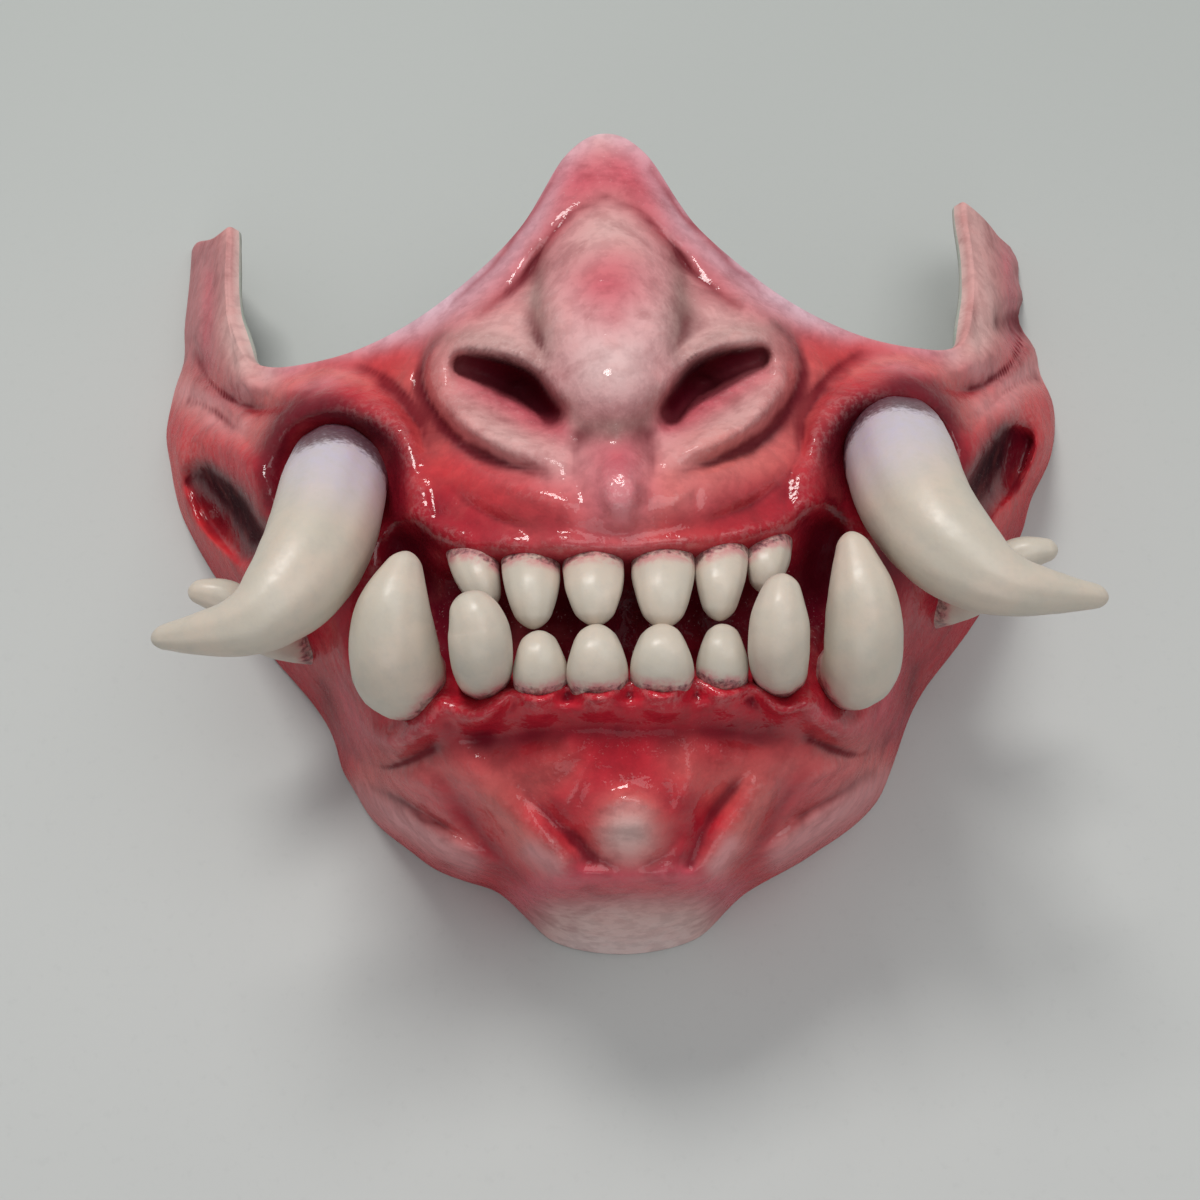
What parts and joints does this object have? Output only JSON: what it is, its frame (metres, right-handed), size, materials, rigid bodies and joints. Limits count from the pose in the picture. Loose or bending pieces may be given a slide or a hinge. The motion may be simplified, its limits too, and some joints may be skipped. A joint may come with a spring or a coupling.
{
  "type": "samurai face guard, a demon half mask",
  "caption": "Hollow demon-faced half mask that covers the nose, cheeks, mouth and chin, with bared teeth and long curved tusks",
  "frame": {"origin": "middle of the base that the back rim rests on", "axes": "X from cheek to cheek, Y from the chin to the nose bridge, Z out of the face, up when the mask lies on its back rim"},
  "size_m": [0.1806, 0.1548, 0.0787],
  "materials": {
    "painted_skin": "cast resin, airbrushed reds and pale flesh under a gloss varnish",
    "ivory": "cast resin, ivory paint with shaded roots under a gloss varnish"
  },
  "bodies": {
    "root": {"shell": "painted_skin", "tusk_left": "ivory", "tusk_right": "ivory", "side_fang_left": "ivory", "side_fang_right": "ivory", "outer_canine_left": "ivory", "outer_canine_right": "ivory", "inner_canine_left": "ivory", "inner_canine_right": "ivory", "lower_incisor_1": "ivory", "lower_incisor_2": "ivory", "lower_incisor_3": "ivory", "lower_incisor_4": "ivory", "upper_tooth_1": "ivory", "upper_tooth_2": "ivory", "upper_tooth_3": "ivory", "upper_tooth_4": "ivory", "upper_tooth_5": "ivory", "upper_tooth_6": "ivory"}
  },
  "joints": []
}
